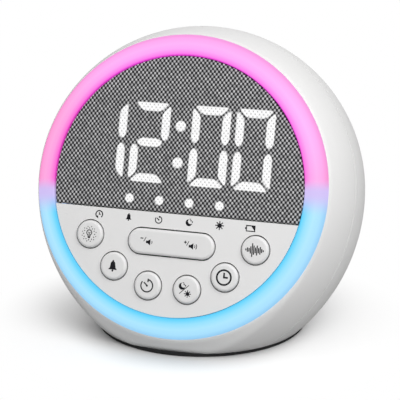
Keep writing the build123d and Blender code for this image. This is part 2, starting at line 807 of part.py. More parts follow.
# Speaker cone: the paper cone, its cap and the coil that stands in the basket's hole
with BuildPart() as speaker_cone:
    with BuildSketch(DRIVER):
        Polygon(
            (speaker_mouth - cone_gap, speaker_front),
            (speaker_mouth - cone_gap, speaker_front - cone_wall),
            (coil_radius, cone_back - cone_wall),
            (coil_radius, basket_back + cone_gap),
            (coil_radius - cone_wall, basket_back + cone_gap),
            (coil_radius - cone_wall, cone_back - cone_wall),
            (0, cone_back - cone_wall),
            (0, cone_back),
            (coil_radius, cone_back),
            align=None,
        )
    revolve(axis=driver_axis)
save(speaker_cone, "speaker_cone")

# Speaker gasket: foam between the flange and the back wall
with BuildPart() as speaker_gasket:
    with BuildSketch(BACK.offset(speaker_front)):
        Circle(speaker_gasket_radius)
        Circle(speaker_mouth, mode=Mode.SUBTRACT)
    extrude(amount=speaker_gasket_thickness)
save(speaker_gasket, "speaker_gasket")

# Speaker screws: from inside, through the flange into the back wall's bosses
with BuildPart() as speaker_screws:
    add(screws(BACK.offset(speaker_back), speaker_corners, speaker_screw_length))
save(speaker_screws, "speaker_screws")

# Power board: carries the inlet socket, on two posts
with BuildPart() as power_board:
    with BuildSketch(Plane.XY.offset(power_board_top - board_thickness)):
        with Locations((0, power_screw_y)):
            Rectangle(power_board_width, power_board_length)
        with Locations(*power_screw_places):
            Circle(screw_radius + screw_clearance, mode=Mode.SUBTRACT)
    extrude(amount=board_thickness)
save(power_board, "power_board")

# Power board screws: down into the posts
with BuildPart() as power_board_screws:
    down = Plane(origin=(0, 0, power_board_top), x_dir=(1, 0, 0), z_dir=(0, 0, -1))
    mirrored = [(x, -y) for x, y in power_screw_places]
    add(screws(down, mirrored, screw_length))
save(power_board_screws, "power_board_screws")

# Socket shell: the inlet's metal sleeve, with its mouth at the floor of the well
socket_back = port_floor - socket_length
with BuildPart() as socket_shell:
    with BuildSketch(PORT.offset(socket_back)):
        SlotOverall(socket_width, socket_height)
        SlotOverall(socket_width - 2 * socket_skin, socket_height - 2 * socket_skin, mode=Mode.SUBTRACT)
    extrude(amount=socket_length)
save(socket_shell, "socket_shell")

# Socket tongue: the plug-in blade and the block that closes the back of the sleeve
with BuildPart() as socket_tongue:
    hidden = 2 * (socket_skin + tongue_gap)
    with BuildSketch(PORT.offset(socket_back)):
        SlotOverall(socket_width - hidden, socket_height - hidden)
    extrude(amount=tongue_root)
    with BuildSketch(PORT.offset(socket_back)):
        Rectangle(tongue_width, tongue_height)
    extrude(amount=socket_length - tongue_inset)
save(socket_tongue, "socket_tongue")

# Battery cell: lies across the floor in the rear cover's two saddles
with BuildPart() as battery_cell:
    with BuildSketch(Plane.YZ.offset(-cell_length / 2)):
        with Locations((cell_back, cell_height)):
            Circle(cell_radius)
    extrude(amount=cell_length)
    fillet(battery_cell.edges().filter_by(GeomType.CIRCLE), cell_edge)
save(battery_cell, "battery_cell")

# Battery leads: from each end of the cell to the same side of the power board
with BuildPart() as battery_leads:
    board_middle = power_board_top - board_thickness / 2
    for side in (-1, 1):
        end_x = side * cell_length / 2
        turn_x = end_x + side * cell_lead_reach
        edge_x = side * power_board_width / 2
        lead_y = power_board_front + cell_lead_reach
        add(
            lead(
                [
                    (end_x, cell_back, cell_height),
                    (turn_x, cell_back, cell_height),
                    (turn_x, lead_y, board_middle),
                    (edge_x, lead_y, board_middle),
                ]
            )
        )
save(battery_leads, "battery_leads")

# Power leads: from the power board up to the back of the main board
with BuildPart() as power_leads:
    for side in (-1, 1):
        x = side * lead_pitch / 2
        start_y = power_board_front + power_lead_inset
        add(
            lead(
                [
                    (x, start_y, power_board_top),
                    (x, start_y, power_board_top + lead_reach),
                    face_point(x, -power_lead_drop, board_back - lead_reach),
                    face_point(x, -power_lead_drop, board_back),
                ]
            )
        )
save(power_leads, "power_leads")

# Speaker leads: from the top of the speaker's flange to the back of the main board
with BuildPart() as speaker_leads:
    for side in (-1, 1):
        x = side * lead_pitch / 2
        start_z = speaker_height + speaker_size / 2 - speaker_lead_inset
        add(
            lead(
                [
                    (x, speaker_back, start_z),
                    (x, speaker_back - lead_reach, start_z),
                    face_point(x, speaker_lead_rise, board_back - lead_reach),
                    face_point(x, speaker_lead_rise, board_back),
                ]
            )
        )
save(speaker_leads, "speaker_leads")

# Ring leads: from the ring light board, back through the bulkhead and round to the main board
with BuildPart() as ring_leads:
    ring_lead_ends = polar(board_radius - ring_lead_inset, ring_lead_angles)
    for outer, inner in zip(ring_lead_places, ring_lead_ends):
        add(
            lead(
                [
                    face_point(*outer, bulkhead_front),
                    face_point(*outer, bulkhead_back - ring_lead_reach),
                    face_point(*inner, bulkhead_back - ring_lead_reach),
                    face_point(*inner, board_back),
                ]
            )
        )
save(ring_leads, "ring_leads")
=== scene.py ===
import json
import math

import bpy
import numpy as np
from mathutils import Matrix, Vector


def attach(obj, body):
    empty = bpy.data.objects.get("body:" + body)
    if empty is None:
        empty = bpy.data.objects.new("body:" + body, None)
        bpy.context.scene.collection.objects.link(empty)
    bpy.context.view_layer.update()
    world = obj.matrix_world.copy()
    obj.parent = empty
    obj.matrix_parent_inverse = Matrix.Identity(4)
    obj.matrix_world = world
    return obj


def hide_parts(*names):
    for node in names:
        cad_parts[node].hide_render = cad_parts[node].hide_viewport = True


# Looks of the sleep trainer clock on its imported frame. Places and sizes on the face are in millimetres.
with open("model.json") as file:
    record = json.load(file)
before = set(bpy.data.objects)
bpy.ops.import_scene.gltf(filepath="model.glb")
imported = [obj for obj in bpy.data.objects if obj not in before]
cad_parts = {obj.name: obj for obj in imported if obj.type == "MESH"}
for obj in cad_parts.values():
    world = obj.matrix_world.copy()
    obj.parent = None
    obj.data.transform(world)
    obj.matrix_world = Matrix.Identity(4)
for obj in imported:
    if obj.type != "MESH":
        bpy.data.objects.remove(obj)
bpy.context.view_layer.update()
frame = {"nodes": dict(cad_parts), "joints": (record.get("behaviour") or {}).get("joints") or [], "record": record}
nodes = frame["nodes"]
MM = 0.001

# Weave of the face cloth. Its top row stays just short of the round edge, so that the row keeps a width.
YARN_ACROSS, YARN_UP, YARN_RELIEF = 0.79, 0.96, 0.045
YARN_START, YARN_FULL, PIT_START, PIT_FULL = -0.25, 0.5, -0.45, -0.95
YARN_NOISE, NOISE_LOW, NOISE_HIGH = 700, 0.3, 0.7
YARN_BUMP, YARN_BUMP_DEPTH = 0.6, 0.15
DARK_YARN, GREY_YARN, PALE_YARN = (0.018, 0.018, 0.02), (0.34, 0.34, 0.345), (0.54, 0.54, 0.545)
CLOTH_COLUMNS, CLOTH_ROWS, TOP_ROW_SHARE = 421, 255, 0.9998
HEM_WIDTH, HEM_DEPTH = 0.9, 0.6

# Lit digits and dots, as they show through the cloth, with the lit bars of each digit
DIGIT_WIDTH, STROKE, SEGMENT_GAP, SEGMENT_ROUND = 14.6, 3.1, 0.6, 1.0
DIGIT_GAP, COLON_PITCH, COLON_RADIUS, COLON_SPREAD = 2.1, 23.1, 1.95, 6.7
DOT_PITCH, DOT_RADIUS, LIT_EDGE, LIT_SHIFT, LOW_TRIM = 11.6, 1.65, 0.3, -0.45, 1.1
SHOWN = ("bc", "abged", "abcdef", "abcdef")
LIT_DOTS = (-1.5, -0.5, 0.5, 1.5)

# How strongly the display shines through, and how much of that the light yarn and the weave's pits take away
GLOW, YARN_LOSS, PIT_LOSS = 0.88, 0.28, 0.5

# Printed symbols
SYMBOL_PITCH, SYMBOL_DROP, SYMBOL_SHIFT, SYMBOL_LIFT = 11.72, 12.76, 0.17, 0.03
VOLUME_X, VOLUME_DROP = 8.28, 0.2

# Fine grain of moulded and painted surfaces
GRAIN_SCALE, GRAIN_STRENGTH, GRAIN_DEPTH = 2600, 0.12, 0.1

# The seam's distance out along the face normal, how far from it edges may shade as rounded, and how widely
SEAM, SEAM_CLEAR = 23.5, 3.5
SHELL_ROUND, BUTTON_ROUND = 4.0, 0.8

# Height on the ring where pink turns to blue, its lean across the face, and how far it fades up and down
TURN_HEIGHT, TURN_LEAN, FADE_UP, FADE_DOWN = -2.0, 0.0775, 5.5, 9.0
LAVENDER = (0.58, 0.48, 0.86)
RING_EDGE = 0.3

# The pink's rose tint, and the heights between which it fades out, with their lean across the face
ROSE, ROSE_LOW, ROSE_HIGH, ROSE_LEAN = (1.0, 0.9, 0.81), 5.0, 40.0, 0.25

# Camera, solved from the photo, with its distance and aim in metres
LOOK_ASIDE, LOOK_DOWN = math.radians(18.38), math.radians(15.23)
DISTANCE, LENS, SENSOR = 0.5682, 132.86, 36
AIM_LEFT, AIM_LOW = 0.00067, 0.00405

# The face's own directions and planes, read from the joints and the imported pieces
joints = {joint["name"]: joint for joint in frame["joints"]}
OUT = -Vector(joints["light_press"]["axis"]).normalized()
UP = Vector(joints["volume_tilt"]["axis"]).normalized()
RIGHT = Vector((1, 0, 0))


def span(name, way):
    """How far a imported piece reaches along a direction, least and most."""
    mesh = nodes[name].data
    flat = np.empty(len(mesh.vertices) * 3)
    mesh.vertices.foreach_get("co", flat)
    reach = flat.reshape(-1, 3) @ np.array(way) / MM
    return reach.min(), reach.max()


MIDDLE = sum(span("light_ring", UP)) / 2
CENTRE = Vector((0, 0, MIDDLE * MM / UP.z))
RING_OUTER = span("light_ring", RIGHT)[1]
CLOTH_RADIUS = span("face_cloth", RIGHT)[1]
CLOTH_LOW = span("face_cloth", UP)[0] - MIDDLE
CLOTH_FRONT = span("face_cloth", OUT)[1]
PANEL_FRONT = span("button_panel", OUT)[1]
BUTTON_FRONT = span("light_button", OUT)[1]
ROCKER_FRONT = span("volume_rocker", OUT)[1]


def middle(name):
    """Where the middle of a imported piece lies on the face, right and up."""
    return sum(span(name, RIGHT)) / 2, sum(span(name, UP)) / 2 - MIDDLE


def place(x, v, w):
    """A place in millimetres right and up from the middle of the face, and out from the frame's origin."""
    return (RIGHT * x + UP * (v + MIDDLE) + OUT * w) * MM


# Shader helpers
def material(name):
    mat = bpy.data.materials.new(name)
    mat.use_nodes = True
    tree = mat.node_tree
    return mat, tree, next(n for n in tree.nodes if n.type == "BSDF_PRINCIPLED")


def add_node(tree, kind, **values):
    node = tree.nodes.new(kind)
    for key, value in values.items():
        setattr(node, key, value)
    return node


def maths(tree, operation, a, b=0.0):
    node = add_node(tree, "ShaderNodeMath", operation=operation)
    for socket, value in zip(node.inputs, (a, b)):
        if isinstance(value, (int, float)):
            socket.default_value = value
        else:
            tree.links.new(value, socket)
    return node.outputs[0]


def blend(tree, factor, a, b, way="MIX"):
    """Mixes or multiplies two colours, each a socket or an RGB triple."""
    node = add_node(tree, "ShaderNodeMix", data_type="RGBA", blend_type=way)
    tree.links.new(factor, node.inputs["Factor"])
    for socket, value in ((node.inputs[6], a), (node.inputs[7], b)):
        if isinstance(value, tuple):
            socket.default_value = (*value, 1)
        else:
            tree.links.new(value, socket)
    return node.outputs[2]


def smooth(tree, value, low, high):
    """Runs softly from 0 to 1 between two values."""
    node = add_node(tree, "ShaderNodeMapRange", interpolation_type="SMOOTHSTEP")
    tree.links.new(value, node.inputs["Value"])
    node.inputs["From Min"].default_value = low
    node.inputs["From Max"].default_value = high
    return node.outputs["Result"]


def ramp(tree, value, stops):
    """Colours at shares of the way from 0 to 1, with soft steps between them."""
    node = add_node(tree, "ShaderNodeValToRGB")
    tree.links.new(value, node.inputs["Fac"])
    elements = node.color_ramp.elements
    while len(elements) < len(stops):
        elements.new(1.0)
    for element, (share, colour) in zip(elements, stops):
        element.position = share
        element.color = (*colour, 1)
    return node.outputs["Color"]


def object_coordinates(tree):
    return add_node(tree, "ShaderNodeTexCoord").outputs["Object"]


def camera_rays(tree):
    """A socket that is 1 for what the camera sees directly, and 0 for light thrown back."""
    return add_node(tree, "ShaderNodeLightPath").outputs["Is Camera Ray"]


def distance_from(tree, spot):
    """A socket for metres from a spot."""
    node = add_node(tree, "ShaderNodeVectorMath", operation="DISTANCE")
    tree.links.new(object_coordinates(tree), node.inputs[0])
    node.inputs[1].default_value = spot
    return node.outputs["Value"]


def along(tree, way, start):
    """A socket for millimetres along a direction, past a start."""
    dot = add_node(tree, "ShaderNodeVectorMath", operation="DOT_PRODUCT")
    tree.links.new(object_coordinates(tree), dot.inputs[0])
    dot.inputs[1].default_value = way / MM
    return maths(tree, "SUBTRACT", dot.outputs["Value"], start)


def face_coordinates(tree):
    """Sockets for millimetres right and up on the face."""
    return along(tree, RIGHT, 0.0), along(tree, UP, MIDDLE)


def bump(tree, bsdf, height, strength, distance):
    node = add_node(tree, "ShaderNodeBump")
    node.inputs["Strength"].default_value = strength
    node.inputs["Distance"].default_value = distance
    tree.links.new(height, node.inputs["Height"])
    tree.links.new(node.outputs["Normal"], bsdf.inputs["Normal"])


def surface(name, colour, rough, metallic=0.0, gloss=0.5, scale=GRAIN_SCALE, strength=GRAIN_STRENGTH):
    """A plain moulded, painted or metal surface with a fine grain."""
    mat, tree, bsdf = material(name)
    bsdf.inputs["Base Color"].default_value = (*colour, 1)
    bsdf.inputs["Roughness"].default_value = rough
    bsdf.inputs["Metallic"].default_value = metallic
    bsdf.inputs["Specular IOR Level"].default_value = gloss
    noise = add_node(tree, "ShaderNodeTexNoise")
    noise.inputs["Scale"].default_value = scale
    noise.inputs["Detail"].default_value = 3
    tree.links.new(object_coordinates(tree), noise.inputs["Vector"])
    bump(tree, bsdf, noise.outputs["Fac"], strength, GRAIN_DEPTH * MM)
    return mat


def soften(mat, radius):
    """Shades edges as rounded, but leaves the seam between the housing's halves crisp."""
    tree = mat.node_tree
    bevel = add_node(tree, "ShaderNodeBevel", samples=8)
    ahead = smooth(tree, along(tree, OUT, SEAM), SEAM_CLEAR, 2 * SEAM_CLEAR)
    tree.links.new(maths(tree, "MULTIPLY", ahead, radius * MM), bevel.inputs["Radius"])
    grain = next(n for n in tree.nodes if n.type == "BUMP")
    tree.links.new(bevel.outputs["Normal"], grain.inputs["Normal"])


def ring_material():
    """The glowing diffuser: pink above and blue below, strongest in colour along its inner edge."""
    mat, tree, bsdf = material("ring glow")
    x, v = face_coordinates(tree)
    square = maths(tree, "ADD", maths(tree, "MULTIPLY", x, x), maths(tree, "MULTIPLY", v, v))
    past_cloth = maths(tree, "SUBTRACT", maths(tree, "SQRT", square), CLOTH_RADIUS)
    share = maths(tree, "DIVIDE", past_cloth, RING_OUTER - CLOTH_RADIUS)
    pink = ramp(tree, share, (
        (0.0, (0.84, 0.0, 0.68)), (0.1, (0.93, 0.15, 0.78)), (0.3, (0.95, 0.33, 0.86)),
        (0.55, (0.95, 0.39, 0.87)), (0.8, (0.94, 0.34, 0.81)), (1.0, (0.84, 0.24, 0.64)),
    ))
    blue = ramp(tree, share, (
        (0.0, (0.0, 0.46, 0.82)), (0.1, (0.07, 0.62, 0.92)), (0.3, (0.25, 0.71, 0.95)),
        (0.55, (0.38, 0.76, 0.96)), (0.8, (0.35, 0.71, 0.94)), (1.0, (0.24, 0.56, 0.86)),
    ))
    level = maths(tree, "SUBTRACT", v, maths(tree, "MULTIPLY", x, TURN_LEAN))
    below = blend(tree, smooth(tree, level, TURN_HEIGHT - FADE_DOWN, TURN_HEIGHT), blue, LAVENDER)
    rise = maths(tree, "ADD", v, maths(tree, "MULTIPLY", x, ROSE_LEAN))
    rosy = blend(tree, smooth(tree, rise, ROSE_HIGH, ROSE_LOW), pink, ROSE, "MULTIPLY")
    whole = blend(tree, smooth(tree, level, TURN_HEIGHT, TURN_HEIGHT + FADE_UP), below, rosy)
    tree.links.new(whole, bsdf.inputs["Emission Color"])
    tree.links.new(smooth(tree, past_cloth, 0.0, RING_EDGE), bsdf.inputs["Emission Strength"])
    bsdf.inputs["Base Color"].default_value = (0.06, 0.05, 0.06, 1)
    bsdf.inputs["Roughness"].default_value = 0.5
    bsdf.inputs["Specular IOR Level"].default_value = 0.3
    return mat


def cloth_material():
    """Light yarn over dark yarn in a plain weave, with the lit amount shining through from behind."""
    mat, tree, bsdf = material("face cloth")
    x, v = face_coordinates(tree)
    wave_x = maths(tree, "SINE", maths(tree, "MULTIPLY", x, math.pi / YARN_ACROSS))
    wave_v = maths(tree, "SINE", maths(tree, "MULTIPLY", v, math.pi / YARN_UP))
    weave = maths(tree, "MULTIPLY", wave_x, wave_v)
    light = smooth(tree, weave, YARN_START, YARN_FULL)
    noise = add_node(tree, "ShaderNodeTexNoise")
    noise.inputs["Scale"].default_value = YARN_NOISE
    tree.links.new(object_coordinates(tree), noise.inputs["Vector"])
    uneven = smooth(tree, noise.outputs["Fac"], NOISE_LOW, NOISE_HIGH)
    yarn = blend(tree, uneven, GREY_YARN, PALE_YARN)
    tree.links.new(blend(tree, light, DARK_YARN, yarn), bsdf.inputs["Base Color"])
    bsdf.inputs["Roughness"].default_value = 0.85
    bsdf.inputs["Specular IOR Level"].default_value = 0.2
    lit = add_node(tree, "ShaderNodeAttribute", attribute_name="lit").outputs["Fac"]
    pits = maths(tree, "MULTIPLY", smooth(tree, weave, PIT_START, PIT_FULL), PIT_LOSS)
    held_back = maths(tree, "ADD", maths(tree, "MULTIPLY", light, YARN_LOSS), pits)
    through = maths(tree, "SUBTRACT", GLOW, held_back)
    tree.links.new(maths(tree, "MULTIPLY", lit, through), bsdf.inputs["Emission Strength"])
    bsdf.inputs["Emission Color"].default_value = (1.0, 1.0, 1.0, 1)
    bump(tree, bsdf, weave, YARN_BUMP, YARN_BUMP_DEPTH * MM)
    return mat


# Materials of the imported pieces, by slot. The cloth's slot is left out, because the woven sheet replaces it.
shell = surface("shell white", (0.745, 0.742, 0.738), 0.42)
rear = surface("rear white", (0.735, 0.732, 0.728), 0.45)
panel = surface("panel white", (0.70, 0.696, 0.694), 0.48)
button = surface("button white", (0.68, 0.677, 0.675), 0.36)
rubber = surface("foot rubber", (0.012, 0.012, 0.013), 0.8, gloss=0.3, scale=1500, strength=0.4)
black = surface("black plastic", (0.02, 0.02, 0.022), 0.5)
green_board = surface("green board", (0.02, 0.12, 0.05), 0.35)
white_board = surface("white board", (0.7, 0.7, 0.68), 0.4)
clear = surface("clear plate", (0.1, 0.1, 0.11), 0.2)
guide = surface("light guide", (0.8, 0.8, 0.82), 0.3)
steel = surface("screw steel", (0.55, 0.55, 0.57), 0.35, metallic=1.0)
dark_metal = surface("frame steel", (0.12, 0.12, 0.13), 0.5, metallic=1.0)
bright_metal = surface("socket metal", (0.72, 0.72, 0.74), 0.28, metallic=1.0)
paper = surface("cone paper", (0.03, 0.03, 0.03), 0.9)
wrap = surface("cell wrap", (0.05, 0.2, 0.45), 0.35)
red = surface("red lead", (0.4, 0.02, 0.02), 0.5)
grey = surface("grey lead", (0.2, 0.2, 0.21), 0.5)
ink = surface("printed ink", (0.010, 0.010, 0.013), 0.7, gloss=0.1, strength=0.05)
soften(shell, SHELL_ROUND)
soften(button, BUTTON_ROUND)
by_slot = {
    "shell": shell, "rear_shell": rear, "ring_diffuser": ring_material(), "panel": panel, "button": button,
    "clear_plate": clear, "foot_rubber": rubber, "display_block": black, "digit_glow": guide,
    "indicator_glow": guide, "board": green_board, "ring_board": white_board, "lamp_white": guide,
    "switch_black": black, "plunger": grey, "screw_steel": steel, "frame_steel": dark_metal,
    "magnet": dark_metal, "cone_paper": paper, "gasket_foam": rubber, "socket_metal": bright_metal,
    "cell_wrap": wrap, "lead_black": black, "lead_red": red, "lead_grey": grey, "lead_white": white_board,
}
slot_of = {subpart["node"]: subpart["material_slot"] for subpart in frame["record"]["subparts"]}
for name, node in nodes.items():
    if slot_of[name] in by_slot:
        node.data.materials.clear()
        node.data.materials.append(by_slot[slot_of[name]])

# Face cloth: a fine grid with the weave's relief, turned down at its hem. The lit digits end a little above
# the lower edge of the light guides behind them.
DIGIT_LOW, DIGIT_HIGH = (edge - MIDDLE for edge in span("digit_segments", UP))
DIGIT_LOW += LOW_TRIM
DIGIT_HEIGHT, DISPLAY_RISE = DIGIT_HIGH - DIGIT_LOW, (DIGIT_HIGH + DIGIT_LOW) / 2
DOT_RISE = middle("indicator_guides")[1]
FIRST_DIGIT = -COLON_PITCH / 2 - DIGIT_WIDTH - DIGIT_GAP
COLUMNS = (FIRST_DIGIT, -COLON_PITCH / 2, COLON_PITCH / 2, -FIRST_DIGIT)


def segment_outlines():
    """The seven bars of one digit about its middle, by their usual letters."""
    x, y, s, g = DIGIT_WIDTH / 2, DIGIT_HEIGHT / 2, STROKE, SEGMENT_GAP
    top = [(g - x, y), (x - g, y), (x - g - s, y - s), (g + s - x, y - s)]
    upper = [(-x, y - g), (-x, s / 2 + g), (s / 2 - x, g), (s - x, s / 2 + g), (s - x, y - g - s)]
    across = [(g + s / 2 - x, 0), (g + s - x, s / 2), (x - g - s, s / 2), (x - g - s / 2, 0)]
    across += [(x - g - s, -s / 2), (g + s - x, -s / 2)]

    def flip(outline, i, j):
        return [(i * px, j * py) for px, py in outline]

    return {
        "a": top, "d": flip(top, 1, -1), "f": upper, "b": flip(upper, -1, 1),
        "e": flip(upper, 1, -1), "c": flip(upper, -1, -1), "g": across,
    }


def outside(outline, x, v):
    """Distance outside a convex outline with rounded corners; negative is inside."""
    corners = np.array(outline)
    sides = np.roll(corners, -1, 0) - corners
    normals = np.stack([sides[:, 1], -sides[:, 0]], 1) / np.hypot(sides[:, 0], sides[:, 1])[:, None]
    normals *= np.sign(((corners - corners.mean(0)) * normals).sum(1))[:, None]
    reach = (x[..., None] - corners[:, 0]) * normals[:, 0] + (v[..., None] - corners[:, 1]) * normals[:, 1]
    return np.sqrt((np.maximum(reach + SEGMENT_ROUND, 0) ** 2).sum(-1)) - SEGMENT_ROUND


def lit_amount(x, v):
    """How strongly the display behind the cloth shines at each place, from 0 to 1."""
    x = x - LIT_SHIFT
    outlines = segment_outlines()
    shapes = []
    for column, bars in zip(COLUMNS, SHOWN):
        shapes += [outside(outlines[bar], x - column, v - DISPLAY_RISE) for bar in bars]
    for way in (-1, 1):
        shapes.append(np.hypot(x, v - DISPLAY_RISE - way * COLON_SPREAD) - COLON_RADIUS)
    for step in LIT_DOTS:
        shapes.append(np.hypot(x - step * DOT_PITCH, v - DOT_RISE) - DOT_RADIUS)
    return np.clip(0.5 - np.min(shapes, axis=0) / LIT_EDGE, 0, 1)


def build_cloth():
    rise = np.linspace(CLOTH_LOW, CLOTH_RADIUS * TOP_ROW_SHARE, CLOTH_ROWS)
    half = np.sqrt(CLOTH_RADIUS**2 - rise**2)
    x = half[:, None] * np.linspace(-1, 1, CLOTH_COLUMNS)[None, :]
    v = np.repeat(rise[:, None], CLOTH_COLUMNS, 1)
    hem = np.clip(1 - np.minimum(CLOTH_RADIUS - np.hypot(x, v), v - CLOTH_LOW) / HEM_WIDTH, 0, 1)
    weave = np.sin(math.pi * x / YARN_ACROSS) * np.sin(math.pi * v / YARN_UP)
    w = CLOTH_FRONT + YARN_RELIEF * (weave - 1) - HEM_DEPTH * (1 - np.sqrt(1 - hem**2))
    spots = np.stack([x, v + MIDDLE, w], -1) @ np.array([RIGHT, UP, OUT])
    index = np.arange(CLOTH_ROWS * CLOTH_COLUMNS).reshape(CLOTH_ROWS, CLOTH_COLUMNS)
    quads = np.stack([index[:-1, :-1], index[:-1, 1:], index[1:, 1:], index[1:, :-1]], -1).reshape(-1, 4)
    mesh = bpy.data.meshes.new("face cloth")
    mesh.from_pydata((spots.reshape(-1, 3) * MM).tolist(), [], quads.tolist())
    mesh.polygons.foreach_set("use_smooth", [True] * len(mesh.polygons))
    lit = mesh.attributes.new("lit", "FLOAT", "POINT")
    lit.data.foreach_set("value", lit_amount(x, v).reshape(-1).astype(np.float32))
    mesh.materials.append(cloth_material())
    cloth = bpy.data.objects.new("woven_face_cloth", mesh)
    bpy.context.scene.collection.objects.link(cloth)
    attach(cloth, "housing")
    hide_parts("face_cloth")


build_cloth()


# Printed symbols, as thin flat pieces on the panel and on what moves. Each is drawn about its middle, in
# units that its size turns to millimetres.
class Symbol:
    """Flat shapes about a symbol's middle, gathered into one piece."""

    def __init__(self):
        self.corners, self.faces = [], []

    def shape(self, outline):
        start = len(self.corners)
        self.corners += outline
        self.faces.append(list(range(start, start + len(outline))))

    def disc(self, x, y, radius, count=24):
        turns = [2 * math.pi * i / count for i in range(count)]
        self.shape([(x + radius * math.cos(a), y + radius * math.sin(a)) for a in turns])

    def band(self, first, second):
        """Fills between two lines of points."""
        for a, b, c, d in zip(first, first[1:], second[1:], second):
            self.shape([a, b, c, d])

    def arc(self, x, y, radius, width, start, end):
        inner = arc_points(x, y, radius - width / 2, start, end)
        self.band(inner, arc_points(x, y, radius + width / 2, start, end))

    def bar(self, x0, y0, x1, y1, width):
        way = math.atan2(y1 - y0, x1 - x0)
        dx, dy = -math.sin(way) * width / 2, math.cos(way) * width / 2
        self.shape([(x0 + dx, y0 + dy), (x0 - dx, y0 - dy), (x1 - dx, y1 - dy), (x1 + dx, y1 + dy)])

    def put(self, name, x, v, w, size, body):
        corners = [place(x + size * px, v + size * py, w + SYMBOL_LIFT) for px, py in self.corners]
        mesh = bpy.data.meshes.new(name)
        mesh.from_pydata(corners, [], self.faces)
        mesh.materials.append(ink)
        piece = bpy.data.objects.new(name, mesh)
        bpy.context.scene.collection.objects.link(piece)
        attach(piece, body)


def arc_points(x, y, radius, start, end, count=32):
    turns = [math.radians(start + (end - start) * i / count) for i in range(count + 1)]
    return [(x + radius * math.cos(a), y + radius * math.sin(a)) for a in turns]


def add_moon(symbol, x, y, size):
    """A crescent with two small stars in its hollow."""
    outer = arc_points(x, y, 0.9 * size, 55, 395)
    inner = arc_points(x + 0.4 * size, y + 0.36 * size, 0.68 * size, 85, 360)
    symbol.band(outer, inner)
    symbol.disc(x + 0.52 * size, y + 0.55 * size, 0.18 * size)
    symbol.disc(x + 0.86 * size, y + 0.24 * size, 0.13 * size)


def add_sun(symbol, x, y, size):
    symbol.disc(x, y, 0.5 * size)
    for i in range(8):
        across, up = math.cos(math.pi / 4 * i) * size, math.sin(math.pi / 4 * i) * size
        symbol.bar(x + 0.5 * across, y + 0.5 * up, x + across, y + up, 0.22 * size)


def add_speaker(symbol):
    symbol.bar(-1.1, 0, -0.4, 0, 0.95)
    symbol.shape([(-0.4, -0.47), (-0.4, 0.47), (0.6, 1.15), (0.6, -1.15)])
    symbol.bar(-2.0, 0.1, -1.2, 1.75, 0.24)


def bell():
    symbol = Symbol()
    right = [(0.43, 0.38), (0.53, -0.30), (0.82, -0.66)]
    symbol.shape(right + [(-x, y) for x, y in reversed(right)])
    symbol.shape(arc_points(0, 0.38, 0.43, 0, 180))
    symbol.disc(0, 0.88, 0.15)
    symbol.disc(0, -0.84, 0.18)
    return symbol


def timer(width=0.25):
    symbol = Symbol()
    symbol.arc(0, 0, 0.86, width, -218, 84)
    symbol.bar(0.13, 0.50, 0.13, 0.98, width)
    symbol.bar(-0.46, 0.44, 0.04, 0, width)
    symbol.disc(0.02, 0, 0.8 * width)
    return symbol


def thin_timer():
    return timer(0.18)


def moon():
    symbol = Symbol()
    add_moon(symbol, 0, 0, 1)
    return symbol


def sun():
    symbol = Symbol()
    add_sun(symbol, 0, 0, 1)
    return symbol


def clock():
    symbol = Symbol()
    symbol.arc(0, 0, 0.86, 0.21, 0, 360)
    symbol.bar(0, 0.56, 0, -0.1, 0.2)
    symbol.bar(-0.1, 0, 0.48, 0, 0.2)
    return symbol


def time_shift():
    """A clock hand inside an arrow that turns back on itself."""
    symbol = Symbol()
    symbol.arc(0, 0, 0.86, 0.26, -50, 235)
    tip_x, tip_y = 0.86 * math.cos(math.radians(235)), 0.86 * math.sin(math.radians(235))
    symbol.shape([(tip_x - 0.34, tip_y + 0.2), (tip_x + 0.24, tip_y + 0.4), (tip_x + 0.3, tip_y - 0.36)])
    symbol.bar(0, 0.48, 0, -0.1, 0.22)
    symbol.bar(-0.1, 0, 0.38, 0, 0.22)
    return symbol


def sound():
    symbol = Symbol()
    heights = (0.14, 0.32, 0.26, 0.52, 1.0, 0.68, 0.42, 0.72, 0.38, 0.56, 0.3, 0.14)
    for i, height in enumerate(heights):
        x = (i - (len(heights) - 1) / 2) * 0.24
        symbol.bar(x, -height, x, height, 0.17)
    return symbol


def bulb():
    symbol = Symbol()
    symbol.arc(0, 0.18, 0.36, 0.12, -60, 240)
    symbol.bar(-0.18, -0.13, -0.13, -0.42, 0.11)
    symbol.bar(0.18, -0.13, 0.13, -0.42, 0.11)
    symbol.bar(-0.17, -0.5, 0.17, -0.5, 0.14)
    symbol.bar(0, 0.1, 0, -0.45, 0.11)
    symbol.bar(-0.16, 0.26, 0, 0.08, 0.09)
    symbol.bar(0.16, 0.26, 0, 0.08, 0.09)
    for i in range(12):
        across, up = math.cos(math.pi / 6 * i), math.sin(math.pi / 6 * i)
        symbol.bar(0.72 * across, 0.72 * up, 0.88 * across, 0.88 * up, 0.11)
        turn = math.pi / 6 * (i + 0.5)
        symbol.disc(1.02 * math.cos(turn), 1.02 * math.sin(turn), 0.065)
    return symbol


def moon_and_sun():
    symbol = Symbol()
    add_moon(symbol, -0.62, 0.48, 0.56)
    symbol.bar(-0.95, -0.62, 0.42, 0.7, 0.1)
    add_sun(symbol, 0.3, -0.56, 0.54)
    return symbol


def quieter():
    symbol = Symbol()
    add_speaker(symbol)
    symbol.bar(-3.35, 1.25, -2.25, 1.25, 0.36)
    symbol.arc(0.5, 0, 0.75, 0.26, -42, 42)
    return symbol


def louder():
    symbol = Symbol()
    add_speaker(symbol)
    symbol.bar(-3.0, 1.3, -2.0, 1.3, 0.34)
    symbol.bar(-2.5, 0.8, -2.5, 1.8, 0.34)
    symbol.arc(0.5, 0, 0.75, 0.26, -42, 42)
    symbol.arc(0.5, 0, 1.4, 0.26, -40, 40)
    return symbol


